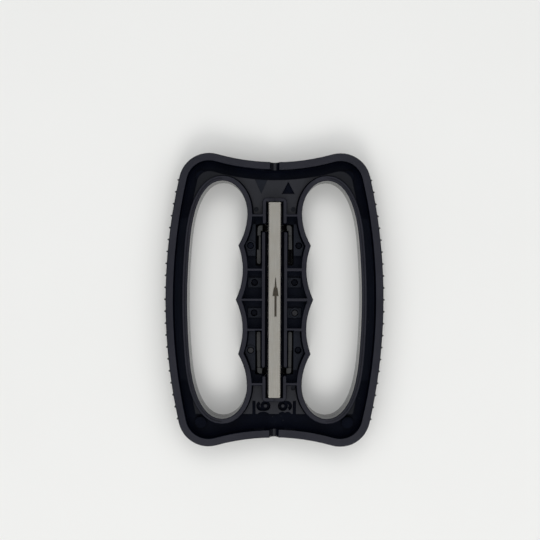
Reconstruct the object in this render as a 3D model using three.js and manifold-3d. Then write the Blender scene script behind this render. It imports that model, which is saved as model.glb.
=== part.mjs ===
// Edge tuning tool for skis and snowboards: a two-handed guide frame in two halves, back to back, that
// carries a flat file standing on edge between them. Each side of each half is a guide face at its own
// angle to the file. Millimetres. +Z points out of the front half, +Y along the file's cutting direction.
// The origin is under the middle of the tool, on the surface that its rear rims lie on.
import * as THREE from "three";
import { mergeVertices } from "three/addons/utils/BufferGeometryUtils.js";
import Module from "manifold-3d";

const wasm = await Module();
wasm.setup();

// Outline of the frame: bulging sides, hollow ends, round corners.
const HALF_WIDTH = 56.2;
const HALF_LENGTH = 71;
const SIDE_RADIUS = 289;
const END_RADIUS = 111;
const CORNER_RADIUS = 15.6;
const RIM_WALL = 4;
const TROUGH = 5;

// Heights of one half, from the joint between the halves.
const HALF_HEIGHT = 8.5;
const JOINT_GAP = 0.15;
const LOW_FLOOR = 1.4;
const HIGH_FLOOR = 4.4;
const WALL_GROOVE = 0.5; // narrow gutter in the high floor, along the finger openings' walls

// Guide faces slope towards the file out to this distance from it; beyond, the rims are level.
const GUIDE_REACH = 47;
const FRONT_SLOPES = { left: 0, right: 1 };
const REAR_SLOPES = { left: 2, right: 3 };

// Finger openings, for the one at +X.
const OPENING = {
  side: 45,
  sideRadius: 335,
  sideEnd: 32,
  end: 61.4,
  endX: 27,
  palmX: 14.1,
  palmY: 44.5,
  palmRadius: 31.9,
  fingerRadius: 35.3,
  wall: 2.7,
};

// Lengths of the curve handles in the opening's two upper bends: from the side to the end, then to the palm.
const BEND = { side: 18, endOuter: 9, endInner: 7.5, palm: 8.5 };
const OUTER_RIDGE = new THREE.Vector2(18.7, 28);
const MIDDLE_RIDGE = new THREE.Vector2(20, 0);

// File and the channel that it stands in.
const FILE = {
  length: 100,
  thickness: 6.2,
  height: 20,
  bottom: 1,
  pitch: 1.25,
  tooth: 0.32,
  rise: 0.88, // share of the pitch over which a tooth's back rises
};

// Direction arrow on the file's narrow face: heights along Y, and widths.
const ARROW = {
  tip: 11.5,
  neck: 6.4,
  barb: 2,
  tail: -8.5,
  neckWidth: 1.2,
  shoulderWidth: 1.9,
  headWidth: 3.1,
  shaftWidth: 1.1,
  depth: 0.25,
  x: 0.5,
};
const CHANNEL = { half: 4.7, endHalf: 4.33, end: 50.6, wall: 2, cornerRadius: 2.3 };
const FILE_SLOT = 3.5; // half width of the slot in the low floor, which guides the file

const GAP = { from: 35.1, to: 39.1 };

// Spring clips beside the channel, for the one at +X, +Y.
const CLIP = {
  hingeX: 8.15,
  inner: 7.1,
  outer: 9.2,
  tipOuter: 8.9,
  footTip: 3.55,
  footFrom: 35.6,
  footTo: 38.6,
  taper: 6, // length of the wider part of the leg, from the hinge
  heel: 1.5,
  toe: 1,
  footInner: 6.2, // the foot is lower from here to its tip
  footHalf: 1.2,
  discRadius: 2.1,
  discHalf: 0.45,
};
const UPPER_HINGE_Y = 19.4;
const LOWER_HINGE_Y = 17.6;

// Half heights along each clip, by distance from the tool's middle.
const LEGS = {
  upperLeft: [
    { from: 33.2, to: 39, half: 4.4 },
    { from: 26, to: 33.2, half: 3.4, outer: 8.3 },
    { from: 17, to: 26, half: 3.6 },
  ],
  upperRight: [
    { from: 33.2, to: 39, half: 4.4 },
    { from: 26, to: 33.2, half: 3.6 },
    { from: 17, to: 26, half: 0.7 },
  ],
  lower: [
    { from: 35.4, to: 39, half: 3.4 },
    { from: 26.6, to: 35.4, half: 2.8 },
    { from: 16, to: 26.6, half: 4.2 },
  ],
};
const SLOT = { inner: CHANNEL.half + CHANNEL.wall, outer: 9.9, rootRoom: 1.6 };

// The slots are open in the front half. In the rear half each ends in a closed well with this inner depth.
const WELL = { depth: 4.7, floor: 1.1, wall: 1 };

// Pads that raise the low floor round the two middle rows of pins.
const PAD = { height: 1.3, half: 2.5, outer: 13.8 };
const PAD_FLOOR = LOW_FLOOR + PAD.height;

// Assembly pins: four rows beside the channel, and a dowel near each corner. A pin stands a little proud of
// a bossed hole and stops below the floor in a plain one. A dowel lies in a blind hole, inside a low boss.
const PIN = { radius: 1.5, bossRadius: 2.7, bossHeight: 0.5, recess: 2 };
const PIN_ROWS = [
  { x: 12.5, y: 28, floor: HIGH_FLOOR },
  { x: 10.4, y: 8.8, floor: PAD_FLOOR },
  { x: 10.6, y: -7, floor: PAD_FLOOR },
  { x: 12.3, y: -26.3, floor: HIGH_FLOOR },
];
const DOWEL = { x: 38.2, y: 64, bossRadius: 3, boss: 3.4, hole: 2.6, reach: 2.3 };
const BOSSED_PINS = ["left_1", "right_3", "left_4"];

// Grip strips let into the outer side faces.
const GRIP = { depth: 1.5, halfHeight: 5, end: 62.8, nubPitch: 6.2, nubs: 21, nubRadius: 0.6, nubHalf: 4 };

// A fine groove in the top of each opening's wall, along its palm side and ends.
const LIP_GROOVE = { inner: 1.15, outer: 1.55, depth: 0.6, from: 27 };

// Round marks of the mould's ejector pins, sunk in the end floors.
const EJECTOR = { radius: 1.15, depth: 0.8 };
const EJECTOR_PLACES = polygon([-9.6, 46.8], [9.6, 46.8], [9.8, -45.9]);

// Cross ribs between the channel and the openings, and the stretches where the floor between them is low.
const RIB = 1.5;
const RIB_ROWS = [-43.5, -15.5, 0, 15.5, 43.5];
const LOW_BANDS = [
  [-43, -36.6],
  [-15, 15],
  [16, 22.7],
  [39.1, 43],
];

const MARK_STEP = -59.4; // at the end with the guide angles, the high floor stops at this Y

// Notches with an oval bottom across the end rims, where the guide faces of the two sides meet.
const NOTCH = { halfWidth: 2.4, depth: 4, length: 10, sides: 24 };

// Marks sunk in the end floors: a triangle on each side above, the guide angle on each side below.
const TRIANGLES = {
  left: { x: -7, halfWidth: 3.5, base: 62.8, tip: 54.9, depth: 0.5 },
  right: { x: 7, halfWidth: 3.3, base: 54.9, tip: 61.2, depth: 1.2 },
};
const NUMERAL = { height: 7.4, halfWidth: 2.6, stroke: 1.7, depth: 2, x: 5.6, rows: [-55.2, -60.8] };
const NUMERAL_BAR = { x: 10.5, half: 0.8 };

const RUNNING_GAP = 0.3;
const PAST = 1; // how far a cutter runs past what it cuts
const ROUND_SIDES = 16; // sides of a pin, a hole or a disc
const BEND_STEPS = 8; // steps in a half circle or a quarter bend of a wall

// ---- Solids -------------------------------------------------------------------------------------------

function toSolid(shape) {
  if (!shape.isBufferGeometry) return shape;
  const bare = shape.index ? shape.toNonIndexed() : shape.clone();
  bare.deleteAttribute("normal");
  bare.deleteAttribute("uv");
  const merged = mergeVertices(bare, 1e-4);
  const mesh = new wasm.Mesh({
    numProp: 3,
    vertProperties: merged.attributes.position.array,
    triVerts: new Uint32Array(merged.index.array),
  });
  return new wasm.Manifold(mesh);
}

function toGeometry(solid) {
  const mesh = solid.getMesh();
  const geometry = new THREE.BufferGeometry();
  geometry.setAttribute("position", new THREE.BufferAttribute(mesh.vertProperties, 3));
  geometry.setIndex(new THREE.BufferAttribute(mesh.triVerts, 1));
  geometry.computeVertexNormals();
  return geometry;
}

function join(shapes) {
  return shapes.map(toSolid).reduce((sum, solid) => sum.add(solid));
}

function cut(shape, cutters) {
  return cutters.map(toSolid).reduce((rest, cutter) => rest.subtract(cutter), toSolid(shape));
}

// An outline pushed up from one height to another.
function prism(outline, low, high, holes = []) {
  const shape = new THREE.Shape(outline);
  shape.holes = holes.map((hole) => new THREE.Path(hole));
  const geometry = new THREE.ExtrudeGeometry(shape, { depth: high - low, bevelEnabled: false });
  return geometry.translate(0, 0, low);
}

// An outline in the XZ plane, pushed along Y.
function prismAlongY(outline, y0, y1) {
  const geometry = prism(outline, 0, y1 - y0);
  return geometry.rotateX(Math.PI / 2).translate(0, y1, 0);
}

function block(x0, x1, y0, y1, z0, z1) {
  const geometry = new THREE.BoxGeometry(x1 - x0, y1 - y0, z1 - z0);
  return geometry.translate((x0 + x1) / 2, (y0 + y1) / 2, (z0 + z1) / 2);
}

// A block given for the +X, +Y quarter of the tool, put in the quarter that sideX and sideY (1 or -1) name.
function quarterBlock(sideX, sideY, [x0, x1], [y0, y1], [z0, z1]) {
  const [left, right] = sideX > 0 ? [x0, x1] : [-x1, -x0];
  const [near, far] = sideY > 0 ? [y0, y1] : [-y1, -y0];
  return block(left, right, near, far, z0, z1);
}

function post(x, y, radius, low, high, sides = ROUND_SIDES) {
  const geometry = new THREE.CylinderGeometry(radius, radius, high - low, sides);
  return geometry.rotateX(Math.PI / 2).translate(x, y, (low + high) / 2);
}

function point(x, y) {
  return new THREE.Vector2(x, y);
}

function polygon(...pairs) {
  return pairs.map(([x, y]) => point(x, y));
}

// ---- Outlines -----------------------------------------------------------------------------------------

function arc(centre, radius, from, to, steps) {
  return Array.from({ length: steps + 1 }, (_, i) => {
    const angle = from + ((to - from) * i) / steps;
    return point(centre.x + radius * Math.cos(angle), centre.y + radius * Math.sin(angle));
  });
}

// The direction from one point to another, from 0 to a full turn.
function angleTo(from, to) {
  const angle = Math.atan2(to.y - from.y, to.x - from.x);
  return angle < 0 ? angle + Math.PI * 2 : angle;
}

// The two points where a pair of circles cross.
function crossings(a, radiusA, b, radiusB) {
  const apart = a.distanceTo(b);
  const along = (radiusA ** 2 - radiusB ** 2 + apart ** 2) / (2 * apart);
  const aside = Math.sqrt(radiusA ** 2 - along ** 2);
  const direction = b.clone().sub(a).normalize();
  const foot = a.clone().addScaledVector(direction, along);
  const normal = point(-direction.y, direction.x);
  return [foot.clone().addScaledVector(normal, aside), foot.clone().addScaledVector(normal, -aside)];
}

function mirrorX(outline) {
  return outline.map((p) => point(-p.x, p.y)).reverse();
}

function mirrorY(outline) {
  return outline.map((p) => point(p.x, -p.y)).reverse();
}

const SIDE_CENTRE = point(HALF_WIDTH - SIDE_RADIUS, 0);
const END_CENTRE = point(0, HALF_LENGTH + END_RADIUS);
const CORNER_CENTRE = crossings(
  END_CENTRE,
  END_RADIUS + CORNER_RADIUS,
  SIDE_CENTRE,
  SIDE_RADIUS - CORNER_RADIUS,
).find((p) => p.x > 0 && p.y > 0 && p.y < END_CENTRE.y);

// The frame's outline, moved inwards by inset. The corner arc touches the side arc and the end arc.
function frameOutline(inset) {
  const sideEnd = angleTo(SIDE_CENTRE, CORNER_CENTRE);
  const cornerEnd = angleTo(CORNER_CENTRE, END_CENTRE);
  const quarter = [
    ...arc(SIDE_CENTRE, SIDE_RADIUS - inset, 0, sideEnd, 9),
    ...arc(CORNER_CENTRE, CORNER_RADIUS - inset, sideEnd, cornerEnd, 12).slice(1),
    ...arc(END_CENTRE, END_RADIUS + inset, cornerEnd - Math.PI, -Math.PI / 2, 6).slice(1),
  ];
  const half = [...quarter, ...mirrorX(quarter).slice(1)];
  return [...half, ...mirrorY(half).slice(1, -1)];
}

// The points between the ends of a curve, moved to its right by offset.
function bezier(start, startHandle, endHandle, end, offset, steps) {
  const curve = new THREE.CubicBezierCurve(start, startHandle, endHandle, end);
  return Array.from({ length: steps - 1 }, (_, i) => {
    const along = curve.getTangent((i + 1) / steps);
    const aside = point(along.y, -along.x).multiplyScalar(offset);
    return curve.getPoint((i + 1) / steps).add(aside);
  });
}

// The finger opening at +X, widened all round by grow: a long palm side, rounded ends, and four finger
// hollows that meet in three ridges.
function openingOutline(grow) {
  const o = OPENING;
  const sideCentre = point(o.side - o.sideRadius, 0);
  const sideAngle = Math.asin(o.sideEnd / o.sideRadius);
  const sideDirection = point(Math.cos(sideAngle), Math.sin(sideAngle));
  const sideTop = sideCentre.clone().addScaledVector(sideDirection, o.sideRadius);
  const sideHandle = sideTop.clone().add(point(-sideDirection.y, sideDirection.x).multiplyScalar(BEND.side));
  const endTop = point(o.endX, o.end);
  const endOuterHandle = point(o.endX + BEND.endOuter, o.end);
  const endInnerHandle = point(o.endX - BEND.endInner, o.end);
  const palmTop = point(o.palmX, o.palmY);
  const palmHandle = point(o.palmX, o.palmY + BEND.palm);
  const palmCentre = point(o.palmX + o.palmRadius, o.palmY);
  const fingerCentre = crossings(OUTER_RIDGE, o.fingerRadius, MIDDLE_RIDGE, o.fingerRadius).find(
    (p) => p.x > OUTER_RIDGE.x,
  );
  const palmRadius = o.palmRadius + grow;
  const fingerRadius = o.fingerRadius + grow;
  const ridge = crossings(palmCentre, palmRadius, fingerCentre, fingerRadius).find(
    (p) => p.x < palmCentre.x,
  );
  const middleAngle = Math.PI + Math.asin(fingerCentre.y / fingerRadius);
  const upper = [
    ...arc(sideCentre, o.sideRadius + grow, 0, sideAngle, 4),
    ...bezier(sideTop, sideHandle, endOuterHandle, endTop, grow, 10),
    point(o.endX, o.end + grow),
    ...bezier(endTop, endInnerHandle, palmHandle, palmTop, grow, 9),
    ...arc(palmCentre, palmRadius, Math.PI, angleTo(palmCentre, ridge), 6),
    ...arc(fingerCentre, fingerRadius, angleTo(fingerCentre, ridge), middleAngle, 9).slice(1),
  ];
  return [...upper, ...mirrorY(upper).slice(1, -1)];
}

// The U-shaped wall round the channel's end at +Y, with round tips where the wall stops.
function channelEndOutline() {
  const inner = CHANNEL.endHalf;
  const outer = inner + CHANNEL.wall;
  const tip = CHANNEL.wall / 2;
  const top = CHANNEL.end + CHANNEL.wall;
  const bend = CHANNEL.cornerRadius;
  const quarter = [
    ...arc(point(inner + tip, GAP.to + tip), tip, Math.PI, Math.PI * 2, BEND_STEPS),
    ...arc(point(outer - bend, top - bend), bend, 0, Math.PI / 2, BEND_STEPS),
  ];
  return [...quarter, ...mirrorX(quarter), ...polygon([-inner, CHANNEL.end], [inner, CHANNEL.end])];
}

// A straight wall with round ends, along Y.
function wallOutline(x0, x1, y0, y1) {
  const radius = (x1 - x0) / 2;
  const x = (x0 + x1) / 2;
  return [
    ...arc(point(x, y1 - radius), radius, 0, Math.PI, BEND_STEPS),
    ...arc(point(x, y0 + radius), radius, Math.PI, Math.PI * 2, BEND_STEPS),
  ];
}

// ---- Frame halves -------------------------------------------------------------------------------------
// A half is made as the front one lies, with the joint between the halves at z = 0. The rear half is the
// same kind of moulding, turned half round about Y.

function pinPlaces() {
  return PIN_ROWS.flatMap(({ x, y, floor }, i) => [
    { name: `left_${i + 1}`, x: -x, y, floor },
    { name: `right_${i + 1}`, x, y, floor },
  ]);
}

function dowelPlaces() {
  return ["upper", "lower"].flatMap((end) =>
    ["left", "right"].map((side) => ({
      name: `${end}_${side}_corner`,
      x: DOWEL.x * (side === "left" ? -1 : 1),
      y: DOWEL.y * (end === "lower" ? -1 : 1),
    })),
  );
}

function clipPlaces() {
  return [
    { name: "upper_left", x: -1, y: 1, hingeY: UPPER_HINGE_Y, legs: LEGS.upperLeft },
    { name: "upper_right", x: 1, y: 1, hingeY: UPPER_HINGE_Y, legs: LEGS.upperRight },
    { name: "lower_left", x: -1, y: -1, hingeY: LOWER_HINGE_Y, legs: LEGS.lower },
    { name: "lower_right", x: 1, y: -1, hingeY: LOWER_HINGE_Y, legs: LEGS.lower },
  ];
}

// An oval ring, as a stroke of a numeral.
function ring(y, radiusX, radiusY, low, high) {
  const oval = (inset) =>
    arc(point(0, 0), 1, 0, Math.PI * 2, 16)
      .slice(1)
      .map((p) => point(p.x * (radiusX - inset), y + p.y * (radiusY - inset)));
  return prism(oval(0), low, high, [oval(NUMERAL.stroke)]);
}

// The tail of a nine: down its right side and round to the left at the foot.
function nineTail(low, high) {
  const { halfWidth, stroke } = NUMERAL;
  const top = NUMERAL.height / 2;
  const curl = (inset) =>
    arc(point(0, 0), 1, 0, -Math.PI * 0.86, 9).map((p) =>
      point(p.x * (halfWidth - inset), halfWidth - top + p.y * (halfWidth - inset)),
    );
  const side = polygon([halfWidth - stroke, top - halfWidth], [halfWidth, top - halfWidth]);
  return prism([...side, ...curl(0), ...curl(stroke).reverse()], low, high);
}

// A numeral upright in the XY plane round the origin, as a list of solids.
function numeral(digit, low, high) {
  const half = NUMERAL.halfWidth;
  const stroke = NUMERAL.stroke;
  const top = NUMERAL.height / 2;
  const seven = polygon(
    [-half, top],
    [-half, top - stroke],
    [half - stroke * 1.3, top - stroke],
    [-half * 0.7, -top],
    [-half * 0.7 + stroke * 1.1, -top],
    [half, top - stroke * 0.8],
    [half, top],
  );
  const eightLoop = (top + stroke / 2) / 2;
  const solids = {
    0: () => [ring(0, half, top, low, high)],
    7: () => [prism(seven, low, high)],
    8: () => [top - eightLoop, eightLoop - top].map((y) => ring(y, half, eightLoop, low, high)),
    9: () => [ring(top - half, half, half, low, high), nineTail(low, high)],
  };
  return solids[digit]();
}

// Cutters for the guide angle beside the channel's end: two numerals lying down, tops towards the channel,
// and a bar under them.
function angleMark(angle, side) {
  const low = HIGH_FLOOR - NUMERAL.depth;
  const high = HIGH_FLOOR + PAST;
  const text = [...String(angle)];
  const order = side < 0 ? text : text.reverse();
  const digits = order.flatMap((digit, i) =>
    numeral(digit, low, high).map((solid) =>
      solid.rotateZ((side * Math.PI) / 2).translate(side * NUMERAL.x, NUMERAL.rows[i], 0),
    ),
  );
  const across = [NUMERAL_BAR.x - NUMERAL_BAR.half, NUMERAL_BAR.x + NUMERAL_BAR.half];
  const along = [-NUMERAL.rows[0] - NUMERAL.halfWidth, -NUMERAL.rows[1] + NUMERAL.halfWidth];
  return [...digits, quarterBlock(side, -1, across, along, [low, high])];
}

// The raised floor, with its low stretches and the gutters along the openings' walls cut away.
function highFloor() {
  const floor = prism(frameOutline(RIM_WALL + TROUGH), JOINT_GAP, HIGH_FLOOR);
  const cutHeights = [LOW_FLOOR, HIGH_FLOOR + PAST];
  const pockets = LOW_BANDS.flatMap(([y0, y1]) =>
    [-1, 1].map((side) => quarterBlock(side, 1, [CHANNEL.half, OPENING.side], [y0, y1], cutHeights)),
  );
  const gutter = openingOutline(OPENING.wall + WALL_GROOVE);
  const gutters = [gutter, mirrorX(gutter)].map((outline) => prism(outline, ...cutHeights));
  const step = block(-HALF_WIDTH, HALF_WIDTH, -HALF_LENGTH, MARK_STEP, ...cutHeights);
  return cut(floor, [...pockets, ...gutters, step]);
}

function pads() {
  return [PIN_ROWS[1], PIN_ROWS[2]].flatMap(({ y }) =>
    [-1, 1].map((side) =>
      quarterBlock(side, 1, [CHANNEL.half, PAD.outer], [y - PAD.half, y + PAD.half], [JOINT_GAP, PAD_FLOOR]),
    ),
  );
}

function channelWalls() {
  const end = channelEndOutline();
  const x0 = CHANNEL.half;
  const side = wallOutline(x0, x0 + CHANNEL.wall, -GAP.from, GAP.from);
  return [end, mirrorY(end), side, mirrorX(side)].map((outline) => prism(outline, JOINT_GAP, HALF_HEIGHT));
}

function ribs() {
  const across = [CHANNEL.half + CHANNEL.wall / 2, MIDDLE_RIDGE.x];
  return RIB_ROWS.flatMap((y) =>
    [-1, 1].map((side) =>
      quarterBlock(side, 1, across, [y - RIB / 2, y + RIB / 2], [JOINT_GAP, HALF_HEIGHT]),
    ),
  );
}

// Closed wells round the clip slots, from the ribs to a little past the gaps in the channel's walls.
function wells() {
  const across = [CHANNEL.half + CHANNEL.wall / 2, SLOT.outer + WELL.wall];
  const along = [RIB_ROWS[3], GAP.to + WELL.wall];
  return clipPlaces().map(({ x, y }) =>
    quarterBlock(x, y, across, along, [JOINT_GAP, WELL.depth + WELL.floor]),
  );
}

// What goes through a half: finger openings, channel and pin holes. The clip slots and the gaps in the
// channel's walls go up to slotTop, and the dowels' holes are blind.
function throughCuts(slotTop) {
  const low = -PAST;
  const high = HALF_HEIGHT + PAST;
  const opening = openingOutline(0);
  const slots = clipPlaces().map(({ x, y, hingeY }) =>
    quarterBlock(x, y, [SLOT.inner, SLOT.outer], [hingeY - SLOT.rootRoom, GAP.to], [low, slotTop]),
  );
  const wallGaps = [-1, 1].map((end) =>
    quarterBlock(1, end, [-SLOT.outer, SLOT.outer], [GAP.from, GAP.to], [low, slotTop]),
  );
  return [
    prism(opening, low, high),
    prism(mirrorX(opening), low, high),
    block(-FILE_SLOT, FILE_SLOT, -CHANNEL.end, CHANNEL.end, low, high),
    block(-CHANNEL.endHalf, CHANNEL.endHalf, -CHANNEL.end, CHANNEL.end, LOW_FLOOR, high),
    block(-CHANNEL.half, CHANNEL.half, -GAP.to, GAP.to, LOW_FLOOR, high),
    ...slots,
    ...wallGaps,
    ...pinPlaces().map(({ x, y }) => post(x, y, PIN.radius + RUNNING_GAP, low, high)),
    ...dowelPlaces().map(({ x, y }) => post(x, y, PIN.radius + RUNNING_GAP, low, DOWEL.hole)),
  ];
}

// Cuts a guide face: from the level of the rims at GUIDE_REACH down to the channel.
function guideCut(side, slope) {
  const drop = GUIDE_REACH * Math.tan(THREE.MathUtils.degToRad(slope));
  const top = HALF_HEIGHT + PAST;
  const reach = side * GUIDE_REACH;
  const end = HALF_LENGTH + END_RADIUS - Math.sqrt(END_RADIUS ** 2 - GUIDE_REACH ** 2) + PAST;
  const wedge = polygon([0, HALF_HEIGHT - drop], [reach, HALF_HEIGHT], [reach, top], [0, top]);
  return prismAlongY(wedge, -end, end);
}

// A strip of the frame's bulging side, between two insets from its outline.
function sideBand(outerInset, innerInset, end) {
  const span = Math.asin(end / SIDE_RADIUS);
  return [
    ...arc(SIDE_CENTRE, SIDE_RADIUS - outerInset, -span, span, 10),
    ...arc(SIDE_CENTRE, SIDE_RADIUS - innerInset, span, -span, 10),
  ];
}

// The groove in the top of the wall of the opening at +X.
function lipGroove() {
  const { inner, outer, depth, from } = LIP_GROOVE;
  const heights = [HALF_HEIGHT - depth, HALF_HEIGHT + PAST];
  const whole = prism(openingOutline(outer), ...heights, [openingOutline(inner)]);
  const fingerSide = block(0, from, -HALF_LENGTH, HALF_LENGTH, heights[0] - PAST, heights[1] + PAST);
  return cut(whole, [fingerSide]);
}

function surfaceCuts(slopes) {
  const groove = sideBand(-PAST, GRIP.depth + RUNNING_GAP, GRIP.end + RUNNING_GAP);
  const grooves = [groove, mirrorX(groove)].map((outline) =>
    prism(outline, -PAST, GRIP.halfHeight + RUNNING_GAP),
  );
  const notches = [-1, 1].map((end) => {
    const { halfWidth, depth, length, sides } = NOTCH;
    const bar = new THREE.CylinderGeometry(halfWidth, halfWidth, length, sides);
    return bar.scale(1, 1, depth / halfWidth).translate(0, end * HALF_LENGTH, HALF_HEIGHT);
  });
  const discPockets = clipPlaces().map(({ x, y, hingeY }) =>
    post(x * CLIP.hingeX, y * hingeY, CLIP.discRadius + RUNNING_GAP, -PAST, CLIP.discHalf + RUNNING_GAP),
  );
  const triangles = [TRIANGLES.left, TRIANGLES.right].map(({ x, halfWidth, base, tip, depth }) => {
    const outline = polygon([x - halfWidth, base], [x + halfWidth, base], [x, tip]);
    return prism(outline, HIGH_FLOOR - depth, HIGH_FLOOR + PAST);
  });
  const ejectorMarks = EJECTOR_PLACES.map(({ x, y }) =>
    post(x, y, EJECTOR.radius, HIGH_FLOOR - EJECTOR.depth, HIGH_FLOOR + PAST),
  );
  return [
    ...grooves,
    ...notches,
    ...ejectorMarks,
    lipGroove(),
    lipGroove().mirror([1, 0, 0]),
    ...discPockets,
    ...triangles,
    ...angleMark(90 - slopes.left, -1),
    ...angleMark(90 - slopes.right, 1),
    ...(slopes.left ? [guideCut(-1, slopes.left)] : []),
    ...(slopes.right ? [guideCut(1, slopes.right)] : []),
  ];
}

// One half. With closed wells it is the rear one.
function frameHalf(slopes, closed) {
  const wall = openingOutline(OPENING.wall);
  const bosses = pinPlaces()
    .filter(({ name }) => BOSSED_PINS.includes(name))
    .map(({ x, y, floor }) => post(x, y, PIN.bossRadius, JOINT_GAP, floor + PIN.bossHeight));
  const dowelBosses = dowelPlaces().map(({ x, y }) => post(x, y, DOWEL.bossRadius, JOINT_GAP, DOWEL.boss));
  const solid = join([
    prism(frameOutline(1), JOINT_GAP, LOW_FLOOR),
    prism(frameOutline(0), JOINT_GAP, HALF_HEIGHT, [frameOutline(RIM_WALL)]),
    highFloor(),
    prism(wall, JOINT_GAP, HALF_HEIGHT),
    prism(mirrorX(wall), JOINT_GAP, HALF_HEIGHT),
    ...channelWalls(),
    ...ribs(),
    ...pads(),
    ...bosses,
    ...dowelBosses,
    ...(closed ? wells() : []),
  ]);
  const slotTop = closed ? WELL.depth : HALF_HEIGHT + PAST;
  return cut(solid, [...throughCuts(slotTop), ...surfaceCuts(slopes)]);
}

// ---- Pieces between and in the halves -----------------------------------------------------------------

// A flat bar with sawtooth broad faces. The steep side of each tooth faces the cutting direction, +Y.
function fileSolid() {
  const teeth = Math.round(FILE.length / FILE.pitch);
  const half = FILE.thickness / 2;
  const edge = [];
  for (let i = 0; i < teeth; i++) {
    const y = -FILE.length / 2 + i * FILE.pitch;
    edge.push(point(half - FILE.tooth, y));
    edge.push(point(half, y + FILE.pitch * FILE.rise));
  }
  edge.push(point(half - FILE.tooth, FILE.length / 2));
  const bar = prism([...edge, ...mirrorX(edge)], 0, FILE.height);
  const { tip, neck, barb, tail, neckWidth, shoulderWidth, headWidth, shaftWidth, depth, x } = ARROW;
  const halfArrow = polygon(
    [shaftWidth / 2, tail],
    [shaftWidth / 2, barb],
    [headWidth / 2, barb],
    [shoulderWidth / 2, neck],
    [neckWidth / 2, neck],
  );
  const arrow = [...halfArrow, point(0, tip), ...mirrorX(halfArrow)];
  const engraving = prism(arrow, FILE.height - depth, FILE.height + PAST).translate(x, 0, 0);
  return cut(bar, [engraving]);
}

// A clip's outline from above, for the one at +X, +Y, as an L: a leg with a round root, and a foot.
function clipOutline(hingeY) {
  const { hingeX, inner, outer, tipOuter, footTip, footFrom, footTo, taper, heel, toe } = CLIP;
  return [
    ...arc(point(hingeX, hingeY), (outer - inner) / 2, Math.PI, Math.PI * 2, BEND_STEPS),
    point(outer, hingeY + taper),
    ...arc(point(tipOuter - heel, footTo - heel), heel, 0, Math.PI / 2, 6),
    ...arc(point(footTip + toe, footTo - toe), toe, Math.PI / 2, Math.PI, 4),
    ...arc(point(footTip + toe, footFrom + toe), toe, Math.PI, Math.PI * 1.5, 4),
    point(inner, footFrom),
  ];
}

// An L-shaped spring clip. Its root turns in a pocket between the halves; its foot reaches through the gap
// in the channel wall to the file. Leg and foot step down towards the joint between the halves.
function clipSolid({ x, y, hingeY, legs }) {
  const outline = clipOutline(hingeY).map((p) => point(p.x * x, p.y * y));
  const tallest = Math.max(...legs.map((leg) => leg.half));
  const beyond = tallest + PAST;
  const wide = [CLIP.footTip - PAST, CLIP.outer + PAST];
  const whole = [-beyond, beyond];
  const lowered = legs
    .filter(({ half }) => half < tallest)
    .flatMap(({ from, to, half }) => [
      quarterBlock(x, y, wide, [from, to], [half, beyond]),
      quarterBlock(x, y, wide, [from, to], [-beyond, -half]),
    ]);
  const foot = [CLIP.footHalf, -CLIP.footHalf].map((edge) => {
    const heights = edge > 0 ? [edge, beyond] : [-beyond, edge];
    return quarterBlock(x, y, [wide[0], CLIP.footInner], [CLIP.footFrom - PAST, CLIP.footTo + PAST], heights);
  });
  const narrowed = legs
    .filter(({ outer }) => outer)
    .map(({ from, to, outer }) => quarterBlock(x, y, [outer, wide[1]], [from, to], whole));
  const disc = post(x * CLIP.hingeX, y * hingeY, CLIP.discRadius, -CLIP.discHalf, CLIP.discHalf);
  return join([cut(prism(outline, -tallest, tallest), [...lowered, ...foot, ...narrowed]), disc]);
}

function gripStrip(side) {
  const band = sideBand(0, GRIP.depth, GRIP.end);
  const strip = prism(side > 0 ? band : mirrorX(band), -GRIP.halfHeight, GRIP.halfHeight);
  const nubs = [];
  for (let i = 0; i < GRIP.nubs; i++) {
    const y = (i - (GRIP.nubs - 1) / 2) * GRIP.nubPitch;
    const x = SIDE_CENTRE.x + Math.sqrt(SIDE_RADIUS ** 2 - y ** 2);
    nubs.push(post(side * x, y, GRIP.nubRadius, -GRIP.nubHalf, GRIP.nubHalf, 8));
  }
  return join([strip, ...nubs]);
}

// A pin's height above the joint in the hole of this name. Turned half round about Y, a half's left holes
// lie behind the other half's right ones.
function pinSolid({ name, x, y, floor }) {
  const reach = (hole) => floor + (BOSSED_PINS.includes(hole) ? PIN.bossHeight : -PIN.recess);
  const holeBehind = name.includes("left") ? name.replace("left", "right") : name.replace("right", "left");
  return toSolid(post(x, y, PIN.radius, -reach(holeBehind), reach(name)));
}

function dowelSolid({ x, y }) {
  return toSolid(post(x, y, PIN.radius, -DOWEL.reach, DOWEL.reach));
}

// ---- The tool -----------------------------------------------------------------------------------------

const blackPlastic = new THREE.MeshStandardMaterial({ color: 0x303138, roughness: 0.55, metalness: 0 });
const clipPlastic = new THREE.MeshStandardMaterial({ color: 0x333332, roughness: 0.7, metalness: 0 });
const pinPlastic = new THREE.MeshStandardMaterial({ color: 0x26272b, roughness: 0.6, metalness: 0 });
const gripRubber = new THREE.MeshStandardMaterial({ color: 0x1d1d20, roughness: 0.85, metalness: 0 });
const fileSteel = new THREE.MeshStandardMaterial({ color: 0x9c9b95, roughness: 0.42, metalness: 0.9 });

const tool = new THREE.Group();

function add(name, solid, material, z) {
  const mesh = new THREE.Mesh(toGeometry(solid), material);
  mesh.name = name;
  mesh.position.z = z;
  tool.add(mesh);
  return mesh;
}

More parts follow.
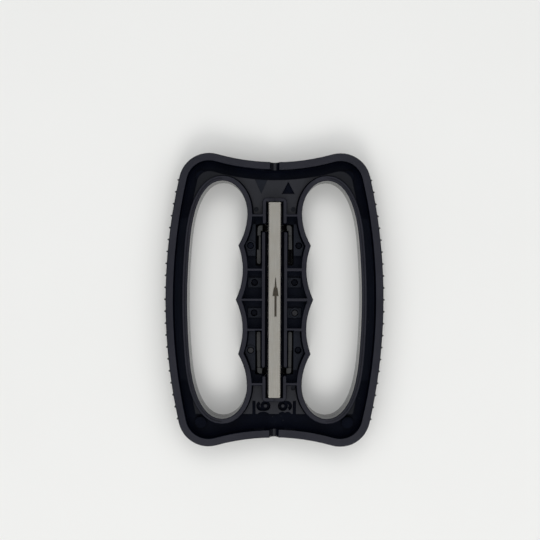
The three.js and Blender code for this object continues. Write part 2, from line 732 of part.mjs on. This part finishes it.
add("front_frame", frameHalf(FRONT_SLOPES, false), blackPlastic, HALF_HEIGHT);
add("rear_frame", frameHalf(REAR_SLOPES, true), blackPlastic, HALF_HEIGHT).rotation.y = Math.PI;
add("file", fileSolid(), fileSteel, FILE.bottom);
clipPlaces().forEach((place) => add(`file_clip_${place.name}`, clipSolid(place), clipPlastic, HALF_HEIGHT));
add("grip_strip_left", gripStrip(-1), gripRubber, HALF_HEIGHT);
add("grip_strip_right", gripStrip(1), gripRubber, HALF_HEIGHT);
pinPlaces().forEach((place) => add(`assembly_pin_${place.name}`, pinSolid(place), pinPlastic, HALF_HEIGHT));
dowelPlaces().forEach((place) => {
  add(`assembly_pin_${place.name}`, dowelSolid(place), pinPlastic, HALF_HEIGHT);
});

export default tool;
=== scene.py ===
"""The looks of an edge tuning tool for skis and snowboards: two black moulded frame halves back to back, a
steel file on edge between them, four spring clips, side grips and assembly pins.

Everything is in metres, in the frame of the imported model: +Z out of the front half, +Y along the cutting
direction, the origin on the floor under the middle of the tool.
"""

import math

import bmesh
import bpy
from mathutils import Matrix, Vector
from mathutils.bvhtree import BVHTree

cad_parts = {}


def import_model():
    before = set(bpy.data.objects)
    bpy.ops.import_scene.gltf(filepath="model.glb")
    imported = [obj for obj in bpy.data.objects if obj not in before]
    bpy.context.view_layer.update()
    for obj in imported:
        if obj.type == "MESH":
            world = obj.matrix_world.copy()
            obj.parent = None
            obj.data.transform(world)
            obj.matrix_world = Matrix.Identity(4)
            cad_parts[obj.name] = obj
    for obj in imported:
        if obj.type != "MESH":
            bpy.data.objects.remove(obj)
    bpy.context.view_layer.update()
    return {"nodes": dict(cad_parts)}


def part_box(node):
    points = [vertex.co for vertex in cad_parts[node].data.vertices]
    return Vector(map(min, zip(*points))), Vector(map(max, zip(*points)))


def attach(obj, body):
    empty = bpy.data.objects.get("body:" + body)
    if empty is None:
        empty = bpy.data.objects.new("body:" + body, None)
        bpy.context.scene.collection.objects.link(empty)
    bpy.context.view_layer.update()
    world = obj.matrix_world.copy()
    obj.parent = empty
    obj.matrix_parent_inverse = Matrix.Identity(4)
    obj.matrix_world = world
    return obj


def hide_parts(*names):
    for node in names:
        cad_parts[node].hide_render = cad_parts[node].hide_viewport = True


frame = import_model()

MM = 0.001

# Edge radii of the moulded and ground pieces.
FRAME_EDGE = 0.26 * MM
CLIP_EDGE = 0.22 * MM
PIN_EDGE = 0.20 * MM
GRIP_EDGE = 0.20 * MM
FILE_EDGE = 0.07 * MM

SHARP = math.radians(33)  # a turn between two faces that counts as an edge
FLAT = math.radians(0.6)  # faces that turn less than this are joined into one
WELD = 0.04 * MM  # corners nearer than this are joined into one
SMOOTH = math.radians(40)  # shading runs smoothly round edges that turn less than this
FILE_SMOOTH = math.radians(30)  # the same for the file
FILE_SHARP = math.radians(50)  # the file's edges that turn more than this are rounded
LEVEL = 0.999  # the least upright part of a level face's normal
NEARLY_LEVEL = 0.9  # the same for faces that may slope a little
JOINT_HEIGHT = 8.5 * MM  # where the two frame halves meet
RIM_DEPTH = 6.4 * MM  # from the joint: edges and faces further out are rim and wall tops
FLOOR_DEPTH = 4.0 * MM  # from the joint: level faces between this and RIM_DEPTH are the high floors
PAD_DEPTH = 2.2 * MM  # from the joint: level faces between this and FLOOR_DEPTH are the pads round pins
FAINT_DEPTH = 3.5 * MM  # from the joint: marks in the end floors that are sunk less than to here are faint
CELL_X = 5 * MM  # low floors further out than this lie between the ribs, nearer ones beside the file
END_FLOOR_Y = 43.5 * MM  # high floors further from the middle than this are the end floors
CLIP_SHADE_DEPTH = 2.4 * MM  # from the joint: faces of a clip nearer than this are its lowest parts, painted in shade
HOLLOW_WIDTH = 20 * MM  # an upright face with another one closer than this in front of it is in a hollow, and is painted the darkest shade
CRISP_SHARE = 0.2  # of the edge radius, along floors, marks, fine grooves and the joint
GROOVE_DEPTH = 1 * MM  # upright faces lower than this are the sides of a fine groove
HAIR = 0.1 * MM  # a length too short to count
LARGE_FACE = 45  # corners; a face with more is cut into triangles before its edges are rounded

# The numbers of a frame half's finishes, copies of one plastic that paint the shade on sunk faces. The pocket
# shade is also for pads and faint marks, and the darkest painted shade for deep marks.
RIM, END_FLOOR, POCKET_SHADE, PAINTED_SHADE, OPEN_SIDE, DEEP_FLOOR_SHADE = range(6)

# And those of a clip's; the low one is painted shade.
CLIP_TOP, CLIP_ROUNDED, CLIP_LOW_SHADE = range(3)

BRIGHT_PINS = ("pin_right_3", "pin_left_4")  # pins in the lighter finish; the others get a copy darkened as painted shade

# The frame's bulging side face, and how many times further than in CAD the grips' nubs stand out of it.
FRAME_HALF_WIDTH = 56.2 * MM
SIDE_RADIUS = 289 * MM
NUB_STRETCH = 2.1

FILE_PITCH = 1.25 * MM
FILE_TOOTH = 0.45 * MM
FILE_RISE = 0.42  # share of the pitch over which a tooth's back rises
FILE_LAND = 0.80  # share of the pitch where its flat crest ends

# The direction arrow on the file: its middle across the file, its places along Y, its half widths there, and
# how deep it is stamped and painted.
ARROW_X = 0.5 * MM
ARROW_TIP = 11.5 * MM
ARROW_NECK = 6.4 * MM
ARROW_BARB = 2.0 * MM
ARROW_TAIL = -8.5 * MM
ARROW_SHAFT = 0.55 * MM
ARROW_HEAD = 1.55 * MM
ARROW_SHOULDER = 0.95 * MM
ARROW_SPIKE = 0.58 * MM
ARROW_POINT = 0.16 * MM
ARROW_DEPTH = 0.22 * MM
STAMP_REACH = 1 * MM  # how far the stamp's cutter stands out of the face that it cuts
PAINT_DEPTH = 0.044 * MM
PAINT_GAP = 0.04 * MM  # between the paint and the sides of the stamp
UPRIGHT = 0.3  # the least level part of the normal of the file's upright faces, which have the teeth's steel

CAMERA_DISTANCE = 0.52
IMAGE_WIDTH = 0.2781  # what the picture spans at the height of the rims
CAMERA_AIM = Vector((-0.00237, 0.01535))
CAMERA_ROLL = 0.003
SENSOR = 36

# The black plastic's dust, and the depth of its grain, which is finer on the smoother open sides.
DUST_COLOUR = (0.11, 0.11, 0.11)
GRAIN_DEPTH = 0.035 * MM
SIDE_GRAIN_DEPTH = 0.004 * MM

FLOOR_HALF = 6.0  # half the pale floor's side
FLOOR_GAP = 0.02 * MM  # between the pale floor and the tool

CORNER_SHADE_FADE = (14 * MM, 34 * MM)  # from the middle: where the end floors' colour fades to the painted shade of their corners

# Strength of the sky: at the horizon, in the bright band, and overhead where the camera stands. The band
# starts and ends over these sines of the height above the horizon.
SKY_HORIZON = 0.24
SKY_BAND = 1.40
SKY_OVERHEAD = 0.04
BAND_START = (0.50, 0.76)
BAND_END = (0.955, 0.992)
SKY_COLOUR = (0.97, 0.985, 1.0, 1)

# Two lamps along the tool: how high each stands, seen from the tool, on which side, its power and its size.
LAMP_DISTANCE = 1.41
LAMP_COLOUR = (1.0, 0.99, 0.97)
NEAR_LAMP = (math.radians(50), -1, 4.2, 0.60)
FAR_LAMP = (math.radians(58.5), 1, 1.7, 0.60)


# ---- Materials ------------------------------------------------------------------------------------------


class Recipe:
    """A node material under construction."""

    def __init__(self, name):
        self.material = bpy.data.materials.new(name)
        self.material.use_nodes = True
        self.tree = self.material.node_tree
        self.shader = self.tree.nodes["Principled BSDF"]
        self.place = self.tree.nodes.new("ShaderNodeTexCoord").outputs["Object"]

    def node(self, kind, **settings):
        made = self.tree.nodes.new(kind)
        for key, value in settings.items():
            setattr(made, key, value)
        return made

    def link(self, source, target):
        self.tree.links.new(source, target)

    def set(self, **values):
        """Sets the shader's own sockets, by name with _ for a space."""
        for key, value in values.items():
            self.shader.inputs[key.replace("_", " ")].default_value = value

    def stretched(self, scale):
        """The object coordinates, scaled differently along each axis."""
        mapping = self.node("ShaderNodeMapping")
        mapping.inputs["Scale"].default_value = scale
        self.link(self.place, mapping.inputs["Vector"])
        return mapping.outputs["Vector"]

    def distance_from_middle(self):
        """How far out a point lies along X, to either side."""
        parts = self.node("ShaderNodeSeparateXYZ")
        self.link(self.place, parts.inputs["Vector"])
        return self.math("ABSOLUTE", parts.outputs["X"], 0)

    def noise(self, scale, detail, roughness=0.5, place=None):
        made = self.node("ShaderNodeTexNoise")
        made.inputs["Scale"].default_value = scale
        made.inputs["Detail"].default_value = detail
        made.inputs["Roughness"].default_value = roughness
        self.link(place or self.place, made.inputs["Vector"])
        return made.outputs["Fac"]

    def cells(self, scale):
        made = self.node("ShaderNodeTexVoronoi")
        made.inputs["Scale"].default_value = scale
        self.link(self.place, made.inputs["Vector"])
        return made.outputs["Distance"]

    def ramp(self, value, low, high, to_low=0.0, to_high=1.0):
        """Value mapped from low..high to to_low..to_high, and held inside them."""
        made = self.node("ShaderNodeMapRange", clamp=True)
        for key, number in (("From Min", low), ("From Max", high), ("To Min", to_low), ("To Max", to_high)):
            made.inputs[key].default_value = number
        self.link(value, made.inputs["Value"])
        return made.outputs["Result"]

    def math(self, operation, a, b):
        made = self.node("ShaderNodeMath", operation=operation)
        for socket, value in zip(made.inputs, (a, b)):
            if isinstance(value, (int, float)):
                socket.default_value = value
            else:
                self.link(value, socket)
        return made.outputs["Value"]

    def mix(self, share, a, b):
        """A colour between a and b; each is a colour or a socket."""
        made = self.node("ShaderNodeMix", data_type="RGBA")
        self.link(share, made.inputs["Factor"])
        # The node's names repeat, so its colour sockets are known by their numbers.
        for socket, value in ((made.inputs[6], a), (made.inputs[7], b)):
            if isinstance(value, tuple):
                socket.default_value = (*value, 1)
            else:
                self.link(value, socket)
        return made.outputs[2]

    def bump(self, height, distance, normal=None):
        made = self.node("ShaderNodeBump")
        made.inputs["Distance"].default_value = distance
        self.link(height, made.inputs["Height"])
        if normal:
            self.link(normal, made.inputs["Normal"])
        return made.outputs["Normal"]

    def finish(self, colour, roughness, normal):
        for socket, value in (("Base Color", colour), ("Roughness", roughness), ("Normal", normal)):
            self.link(value, self.shader.inputs[socket])
        return self.material


def moulded_plastic(name, dark, light, rough, specular, corners=None, grain_depth=GRAIN_DEPTH):
    """Black plastic from a spark-eroded mould: fine grain, faint flow blotches, a few dust specks. Corners is
    painted shade: the colour that it darkens to far out along X."""
    r = Recipe(name)
    grain = r.noise(2600, detail=4)
    flow = r.noise(95, detail=5, roughness=0.6)
    speckle = r.noise(1300, detail=2)
    blotch = r.math("ADD", r.math("MULTIPLY", flow, 0.6), r.math("MULTIPLY", speckle, 0.4))
    dust = r.ramp(r.cells(420), 0.06, 0.10, 1.0, 0.0)
    dust_patch = r.ramp(r.noise(60, detail=2), 0.56, 0.66)
    dust_share = r.math("MULTIPLY", r.math("MULTIPLY", dust, dust_patch), 0.35)
    body = r.mix(r.ramp(blotch, 0.35, 0.7), dark, light)
    # Painted shade: darker far out along X.
    if corners:
        body = r.mix(r.ramp(r.distance_from_middle(), *CORNER_SHADE_FADE), body, corners)
    colour = r.mix(dust_share, body, DUST_COLOUR)
    unevenness = r.math("ADD", r.math("MULTIPLY", grain, 0.5), blotch)
    roughness = r.ramp(unevenness, 0.4, 1.1, rough - 0.07, rough + 0.1)
    sink = r.bump(r.noise(26, detail=1), 0.12 * MM)
    normal = r.bump(grain, grain_depth, normal=sink)
    r.set(Specular_IOR_Level=specular)
    return r.finish(colour, roughness, normal)


def ground_steel(name):
    """File steel: ground lengthwise, a little oiled, with grey and brownish patches and fine specks."""
    r = Recipe(name)
    brushed = r.noise(1.0, detail=6, roughness=0.65, place=r.stretched((5200, 90, 5200)))
    fine = r.noise(1.0, detail=3, place=r.stretched((14000, 420, 14000)))
    patch = r.noise(140, detail=6, roughness=0.7)
    specks = r.ramp(r.cells(1500), 0.10, 0.2, 1.0, 0.0)
    speck_share = r.math("MULTIPLY", specks, r.ramp(r.noise(300, detail=2), 0.5, 0.7))
    grey = r.mix(r.ramp(brushed, 0.3, 0.7), (0.242, 0.233, 0.212), (0.338, 0.326, 0.297))
    toned = r.mix(r.ramp(patch, 0.35, 0.75, 0.0, 0.55), grey, (0.232, 0.214, 0.182))
    colour = r.mix(r.math("MULTIPLY", speck_share, 0.5), toned, (0.140, 0.128, 0.110))
    roughness = r.ramp(r.math("ADD", r.math("MULTIPLY", fine, 0.6), patch), 0.5, 1.1, 0.36, 0.56)
    lines = r.bump(r.math("ADD", brushed, fine), 0.010 * MM)
    normal = r.bump(patch, 0.02 * MM, normal=lines)
    r.set(Metallic=0.92, Specular_IOR_Level=0.5)
    return r.finish(colour, roughness, normal)


def cut_steel(name):
    """The teeth's steel, in light and darker streaks."""
    r = Recipe(name)
    streak = r.noise(1.0, detail=5, place=r.stretched((9000, 900, 400)))
    colour = r.mix(r.ramp(streak, 0.3, 0.75), (0.36, 0.355, 0.34), (0.62, 0.61, 0.58))
    roughness = r.ramp(r.noise(1800, detail=3), 0.3, 0.7, 0.28, 0.45)
    r.set(Metallic=0.95)
    return r.finish(colour, roughness, r.bump(streak, 0.012 * MM))


def stamped_paint(name):
    """Worn brownish ink in the bottom of the stamped arrow."""
    r = Recipe(name)
    worn = r.noise(900, detail=6, roughness=0.7)
    colour = r.mix(r.ramp(worn, 0.35, 0.7), (0.016, 0.013, 0.009), (0.052, 0.041, 0.027))
    r.set(Specular_IOR_Level=0.25)
    return r.finish(colour, r.ramp(worn, 0.3, 0.7, 0.5, 0.75), r.bump(worn, 0.02 * MM))


def rubber(name):
    """Dull black grip rubber with a fine grain."""
    r = Recipe(name)
    grain = r.noise(3400, detail=4, roughness=0.6)
    blotch = r.noise(130, detail=4)
    colour = r.mix(r.ramp(blotch, 0.35, 0.7), (0.008, 0.008, 0.009), (0.015, 0.015, 0.016))
    roughness = r.ramp(grain, 0.3, 0.7, 0.66, 0.86)
    r.set(Specular_IOR_Level=0.35, Sheen_Weight=0.12, Sheen_Roughness=0.45)
    return r.finish(colour, roughness, r.bump(grain, 0.05 * MM))


def pale_board(name):
    """Matt off-white board, a little mottled."""
    r = Recipe(name)
    mottle = r.noise(9, detail=4, roughness=0.6)
    fibre = r.noise(900, detail=3)
    colour = r.mix(r.ramp(mottle, 0.3, 0.7), (0.800, 0.795, 0.775), (0.812, 0.807, 0.788))
    r.set(Specular_IOR_Level=0.2)
    return r.finish(colour, r.ramp(fibre, 0.3, 0.7, 0.7, 0.8), r.bump(fibre, 0.01 * MM))


# The finishes of the black pieces: name, two colours that it varies between, roughness and specular level.
# The frame's pocket, hollow and deep floor copies, the clips' low copy and the sunk pins' copy are darkened
# as painted shade, and the end floors' copy is lighter, with painted shade toward its corners.
FRAME_PLASTIC = moulded_plastic(
    "frame_plastic", (0.0030, 0.0033, 0.0094), (0.0062, 0.0066, 0.0142), 0.38, specular=0.27
)
FRAME_FLOOR = moulded_plastic(
    "frame_plastic_floor",
    (0.0118, 0.0124, 0.0166),
    (0.0146, 0.0154, 0.0204),
    0.40,
    specular=0.18,
    # Painted shade: the end floors darken toward their corners.
    corners=(0.0010, 0.0018, 0.0050),
)
# Darkened as painted shade: the high floors between the walls, the pads round the pins and faint marks.
FRAME_POCKET_SHADE = moulded_plastic(
    "frame_plastic_pocket_shade", (0.0026, 0.0040, 0.0086), (0.0044, 0.0064, 0.0122), 0.38, specular=0.14
)
# Near black, as painted shade: faces in hollows or facing the joint, deep marks, the floor beside the file
# and the rounded edges.
FRAME_PAINTED_SHADE = moulded_plastic(
    "frame_plastic_painted_shade", (0.0004, 0.0009, 0.0036), (0.0012, 0.0024, 0.0072), 0.34, specular=0.04
)
# Darkened as painted shade: the low floors between the ribs.
FRAME_DEEP_SHADE = moulded_plastic(
    "frame_plastic_deep_floor_shade", (0.0016, 0.0028, 0.0074), (0.0026, 0.0042, 0.0106), 0.40, specular=0.06
)
FRAME_SIDE = moulded_plastic(
    "frame_plastic_sides",
    (0.0048, 0.0050, 0.0080),
    (0.0064, 0.0067, 0.0102),
    0.16,
    specular=0.6,
    grain_depth=SIDE_GRAIN_DEPTH,
)
CLIP_PLASTIC = moulded_plastic(
    "clip_plastic", (0.0120, 0.0123, 0.0130), (0.0170, 0.0174, 0.0180), 0.5, specular=0.4
)
CLIP_EDGES = moulded_plastic(
    "clip_plastic_edges", (0.0140, 0.0143, 0.0150), (0.0190, 0.0194, 0.0200), 0.5, specular=0.4
)
# Near black, as painted shade, for the clip's lowest faces.
CLIP_SHADE = moulded_plastic(
    "clip_plastic_low_shade", (0.0006, 0.0006, 0.0010), (0.0012, 0.0012, 0.0018), 0.5, specular=0.03
)
PIN_PLASTIC = moulded_plastic(
    "pin_plastic", (0.0060, 0.0064, 0.0085), (0.0095, 0.0100, 0.0130), 0.36, specular=0.3
)
# Darkened as painted shade, for the sunk pins.
PIN_SUNK_SHADE = moulded_plastic(
    "pin_plastic_sunk_shade", (0.0014, 0.0024, 0.0060), (0.0024, 0.0038, 0.0086), 0.36, specular=0.06
)
FILE_STEEL = ground_steel("file_steel")
TOOTH_STEEL = cut_steel("file_steel_teeth")
ARROW_PAINT = stamped_paint("arrow_paint")
GRIP_RUBBER = rubber("grip_rubber")


# ---- Pieces ---------------------------------------------------------------------------------------------


def add_piece(name, mesh, body, materials, replaced=()):
    piece = bpy.data.objects.new(name, mesh)
    bpy.context.scene.collection.objects.link(piece)
    for material in materials:
        mesh.materials.append(material)
    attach(piece, body)
    if replaced:
        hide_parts(*replaced)
    return piece


def settled(piece, smooth_angle=SMOOTH):
    """Turns the piece's modifiers into its mesh and shades it smooth up to that angle, apart from its level
    faces, which stay flat."""
    evaluated = piece.evaluated_get(bpy.context.evaluated_depsgraph_get())
    mesh = bpy.data.meshes.new_from_object(evaluated)
    piece.modifiers.clear()
    piece.data = mesh
    mesh.shade_smooth()
    mesh.set_sharp_from_angle(angle=smooth_angle)
    for polygon in mesh.polygons:
        polygon.use_smooth = abs(polygon.normal.z) < LEVEL
    weighted = piece.modifiers.new("flat_faces_first", "WEIGHTED_NORMAL")
    weighted.keep_sharp = True
    return piece


def sort_frame_faces(bm):
    """Gives each face of a frame half the number of its finish, by how deep it lies and whether it faces into
    a hollow;
    the pocket, hollow and deep floor finishes paint the shade that falls there.
    """
    tree = BVHTree.FromBMesh(bm)
    for face in bm.faces:
        centre = face.calc_center_median()
        if abs(face.normal.z) > NEARLY_LEVEL:
            height = abs(centre.z - JOINT_HEIGHT)
            at_end = abs(centre.y) > END_FLOOR_Y
            if face.normal.z * (centre.z - JOINT_HEIGHT) < 0:
                face.material_index = PAINTED_SHADE
            elif height > RIM_DEPTH:
                face.material_index = RIM
            elif height > FLOOR_DEPTH:
                face.material_index = END_FLOOR if at_end else POCKET_SHADE
            elif at_end:
                face.material_index = POCKET_SHADE if height > FAINT_DEPTH else PAINTED_SHADE
            elif height > PAD_DEPTH:
                face.material_index = POCKET_SHADE
            else:
                face.material_index = PAINTED_SHADE if abs(centre.x) < CELL_X else DEEP_FLOOR_SHADE
        else:
            hit = tree.ray_cast(centre + face.normal * HAIR, face.normal, HOLLOW_WIDTH)[0]
            face.material_index = PAINTED_SHADE if hit else OPEN_SIDE


def sort_clip_faces(bm):
    """Paints a clip's lowest level faces near black, as painted shade."""
    for face in bm.faces:
        low = abs(face.calc_center_median().z - JOINT_HEIGHT) < CLIP_SHADE_DEPTH
        face.material_index = CLIP_LOW_SHADE if low and abs(face.normal.z) > NEARLY_LEVEL else CLIP_TOP


def softened(name, node, body, materials, edge, edge_finish, sort_faces=None, hollow=False):
    """The CAD node's shape with its sharp outer edges rounded. The rounded strips get the material of the
    number edge_finish, and sort_faces gives the other faces theirs. A hollow piece's edges are rounded less
    below its rims and beside fine grooves."""
    mesh = frame["nodes"][node].data.copy()
    mesh.materials.clear()
    bm = bmesh.new()
    bm.from_mesh(mesh)
    bmesh.ops.remove_doubles(bm, verts=bm.verts, dist=WELD)
    bmesh.ops.dissolve_limit(bm, angle_limit=FLAT, verts=bm.verts, edges=bm.edges)
    bmesh.ops.triangulate(bm, faces=[face for face in bm.faces if len(face.verts) > LARGE_FACE])
    weights = bm.edges.layers.float.new("bevel_weight_edge")
    for line in bm.edges:
        if line.is_convex and line.calc_face_angle(0) > SHARP:
            outer = all(abs(corner.co.z - JOINT_HEIGHT) > RIM_DEPTH for corner in line.verts)
            crisp = hollow and (not outer or beside_groove(line))
            line[weights] = CRISP_SHARE if crisp else 1.0
    for face in bm.faces:
        face.material_index = 0
    if sort_faces:
        bm.normal_update()
        sort_faces(bm)
    bm.to_mesh(mesh)
    bm.free()
    mesh.name = name
    piece = add_piece(name, mesh, body, materials, [node])
    bevel = piece.modifiers.new("edges", "BEVEL")
    bevel.width = edge
    bevel.segments = 2
    bevel.limit_method = "WEIGHT"
    bevel.use_clamp_overlap = False
    bevel.miter_outer = "MITER_ARC"
    bevel.material = edge_finish
    return settled(piece)


def beside_groove(line):
    """Whether the edge is a side of a fine groove."""
    for face in line.link_faces:
        heights = [corner.co.z for corner in face.verts]
        if HAIR < max(heights) - min(heights) < GROOVE_DEPTH:
            return True
    return False


def frame_halves():
    """The two black halves, with one finish for each kind of face, in the order of their numbers; the darker
    finishes are painted shade.
    """
    for side in ("front", "rear"):
        softened(
            f"{side}_half",
            f"{side}_frame",
            "frame",
            (FRAME_PLASTIC, FRAME_FLOOR, FRAME_POCKET_SHADE, FRAME_PAINTED_SHADE, FRAME_SIDE, FRAME_DEEP_SHADE),
            FRAME_EDGE,
            # The rounded edges are painted the darkest shade too.
            edge_finish=PAINTED_SHADE,
            sort_faces=sort_frame_faces,
            hollow=True,
        )


def clips():
    for place in ("upper_left", "upper_right", "lower_left", "lower_right"):
        softened(
            f"spring_clip_{place}",
            f"file_clip_{place}",
            f"clip_{place}",
            (CLIP_PLASTIC, CLIP_EDGES, CLIP_SHADE),
            CLIP_EDGE,
            edge_finish=CLIP_ROUNDED,
            sort_faces=sort_clip_faces,
        )


def pins():
    for node in sorted(n for n in frame["nodes"] if n.startswith("assembly_pin_")):
        name = node.replace("assembly_pin", "pin")
        finish = PIN_PLASTIC if name in BRIGHT_PINS else PIN_SUNK_SHADE
        softened(name, node, "frame", (finish,), PIN_EDGE, edge_finish=0)


def grips():
    """The side strips. Their nubs stand further out than in CAD."""
    for side in ("left", "right"):
        node = f"grip_strip_{side}"
        name = f"grip_{side}"
        grip = softened(name, node, "frame", (GRIP_RUBBER,), GRIP_EDGE, edge_finish=0)
        for vertex in grip.data.vertices:
            x, y = vertex.co.x, vertex.co.y
            face_x = FRAME_HALF_WIDTH - SIDE_RADIUS + math.sqrt(SIDE_RADIUS**2 - y**2)
            proud = abs(x) - face_x
            if proud > 0:
                vertex.co.x = math.copysign(face_x + proud * NUB_STRETCH, x)


def prism_mesh(name, outline, low, high):
    """A closed prism over an outline in XY."""
    bm = bmesh.new()
    base = [bm.verts.new((x, y, low)) for x, y in outline]
    top = [bm.verts.new((x, y, high)) for x, y in outline]
    bm.faces.new(list(reversed(base)))
    bm.faces.new(top)
    for i in range(len(outline)):
        j = (i + 1) % len(outline)
        bm.faces.new((base[i], base[j], top[j], top[i]))
    bmesh.ops.recalc_face_normals(bm, faces=bm.faces)
    mesh = bpy.data.meshes.new(name)
    bm.to_mesh(mesh)
    bm.free()
    return mesh


def carve(piece, cutter_mesh):
    """Cuts a mesh out of the piece's mesh."""
    cutter = bpy.data.objects.new("cutter", cutter_mesh)
    bpy.context.scene.collection.objects.link(cutter)
    boolean = piece.modifiers.new("boolean", "BOOLEAN")
    boolean.operation = "DIFFERENCE"
    boolean.solver = "EXACT"
    boolean.object = cutter
    evaluated = piece.evaluated_get(bpy.context.evaluated_depsgraph_get())
    mesh = bpy.data.meshes.new_from_object(evaluated)
    piece.modifiers.clear()
    piece.data = mesh
    bpy.data.objects.remove(cutter)


def arrow_outline(grow):
    """The direction arrow's outline, moved outward by grow."""
    right = [
        (ARROW_SHAFT + grow, ARROW_TAIL - grow),
        (ARROW_SHAFT + grow, ARROW_BARB - grow),
        (ARROW_HEAD + grow, ARROW_BARB - grow),
        (ARROW_SHOULDER + grow, ARROW_NECK + grow),
        (ARROW_SPIKE + grow, ARROW_NECK + grow),
        (ARROW_POINT + grow, ARROW_TIP + grow),
    ]
    left = [(-x, y) for x, y in reversed(right)]
    return [(x + ARROW_X, y) for x, y in right + left]


def file():
    """The file: a bar with teeth across its broad faces and an arrow stamped in its narrow one."""
    low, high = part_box("file")
    half = high.x
    right = []
    for i in range(round((high.y - low.y) / FILE_PITCH)):
        y = low.y + i * FILE_PITCH
        right.append((half - FILE_TOOTH, y))
        right.append((half, y + FILE_PITCH * FILE_RISE))
        right.append((half, y + FILE_PITCH * FILE_LAND))
    right.append((half - FILE_TOOTH, high.y))
    left = [(-x, y) for x, y in reversed(right)]
    mesh = prism_mesh("file_bar", right + left, low.z, high.z)
    bar = add_piece("file_bar", mesh, "file", (FILE_STEEL, TOOTH_STEEL), ["file"])
    bottom = high.z - ARROW_DEPTH
    carve(bar, prism_mesh("stamp", arrow_outline(0), bottom, high.z + STAMP_REACH))
    for polygon in bar.data.polygons:
        upright = max(abs(polygon.normal.x), abs(polygon.normal.y)) > UPRIGHT
        polygon.material_index = 1 if upright else 0
    bevel = bar.modifiers.new("edges", "BEVEL")
    bevel.width = FILE_EDGE
    bevel.segments = 2
    bevel.limit_method = "ANGLE"
    bevel.angle_limit = FILE_SHARP
    bevel.use_clamp_overlap = False
    settled(bar, FILE_SMOOTH)
    paint = prism_mesh("arrow_paint", arrow_outline(-PAINT_GAP), bottom, bottom + PAINT_DEPTH)
    add_piece("arrow_paint", paint, "file", (ARROW_PAINT,))


# ---- Stage ----------------------------------------------------------------------------------------------


def floor():
    mesh = bpy.data.meshes.new("floor")
    corners = [(x * FLOOR_HALF, y * FLOOR_HALF, 0) for x, y in ((-1, -1), (1, -1), (1, 1), (-1, 1))]
    mesh.from_pydata(corners, [], [(0, 1, 2, 3)])
    board = bpy.data.objects.new("floor", mesh)
    mesh.materials.append(pale_board("pale_board"))
    board.location.z = -FLOOR_GAP
    bpy.context.scene.collection.objects.link(board)


def softbox(name, place, size, power):
    """A round lamp that faces the middle of the tool."""
    light = bpy.data.lights.new(name, "AREA")
    light.shape = "DISK"
    light.size = size
    light.energy = power
    light.color = LAMP_COLOUR
    lamp = bpy.data.objects.new(name, light)
    lamp.location = place
    lamp.rotation_euler = (-Vector(place)).to_track_quat("-Z", "Y").to_euler()
    bpy.context.scene.collection.objects.link(lamp)


def studio_sky():
    """A soft room: bright in a band high round the tool, dim overhead where the camera stands."""
    world = bpy.data.worlds.new("studio")
    world.use_nodes = True
    tree = world.node_tree
    background = tree.nodes["Background"]
    place = tree.nodes.new("ShaderNodeTexCoord").outputs["Generated"]
    height = tree.nodes.new("ShaderNodeSeparateXYZ")
    tree.links.new(place, height.inputs["Vector"])
    rises = sky_step(tree, height.outputs["Z"], BAND_START, SKY_HORIZON, SKY_BAND)
    falls = sky_step(tree, height.outputs["Z"], BAND_END, 1.0, SKY_OVERHEAD / SKY_BAND)
    strength = tree.nodes.new("ShaderNodeMath")
    strength.operation = "MULTIPLY"
    tree.links.new(rises, strength.inputs[0])
    tree.links.new(falls, strength.inputs[1])
    tree.links.new(strength.outputs["Value"], background.inputs["Strength"])
    background.inputs["Color"].default_value = SKY_COLOUR
    bpy.context.scene.world = world


def sky_step(tree, height, stretch, before, after):
    """A soft step of the sky's strength over a stretch of heights."""
    step = tree.nodes.new("ShaderNodeMapRange")
    step.interpolation_type = "SMOOTHSTEP"
    for key, number in zip(("From Min", "From Max", "To Min", "To Max"), (*stretch, before, after)):
        step.inputs[key].default_value = number
    tree.links.new(height, step.inputs["Value"])
    return step.outputs["Result"]


def lights():
    """The two lamps and the sky."""
    for name, (height, side, power, size) in (("near_lamp", NEAR_LAMP), ("far_lamp", FAR_LAMP)):
        across = side * LAMP_DISTANCE * math.cos(height)
        place = (0, across, LAMP_DISTANCE * math.sin(height))
        softbox(name, place, size, power)
    studio_sky()


def camera():
    """Looks straight down, from CAMERA_DISTANCE above the rims."""
    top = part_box("front_frame")[1].z
    data = bpy.data.cameras.new("camera")
    data.sensor_width = SENSOR
    data.lens = SENSOR * CAMERA_DISTANCE / IMAGE_WIDTH
    data.clip_start = 0.1
    data.clip_end = 20
    view = bpy.data.objects.new("camera", data)
    view.location = (CAMERA_AIM.x, CAMERA_AIM.y, top + CAMERA_DISTANCE)
    view.rotation_euler = (0, 0, CAMERA_ROLL)
    bpy.context.scene.collection.objects.link(view)
    bpy.context.scene.camera = view


camera()
lights()
floor()
frame_halves()
clips()
pins()
grips()
file()

bpy.context.scene.view_settings.view_transform = "Standard"
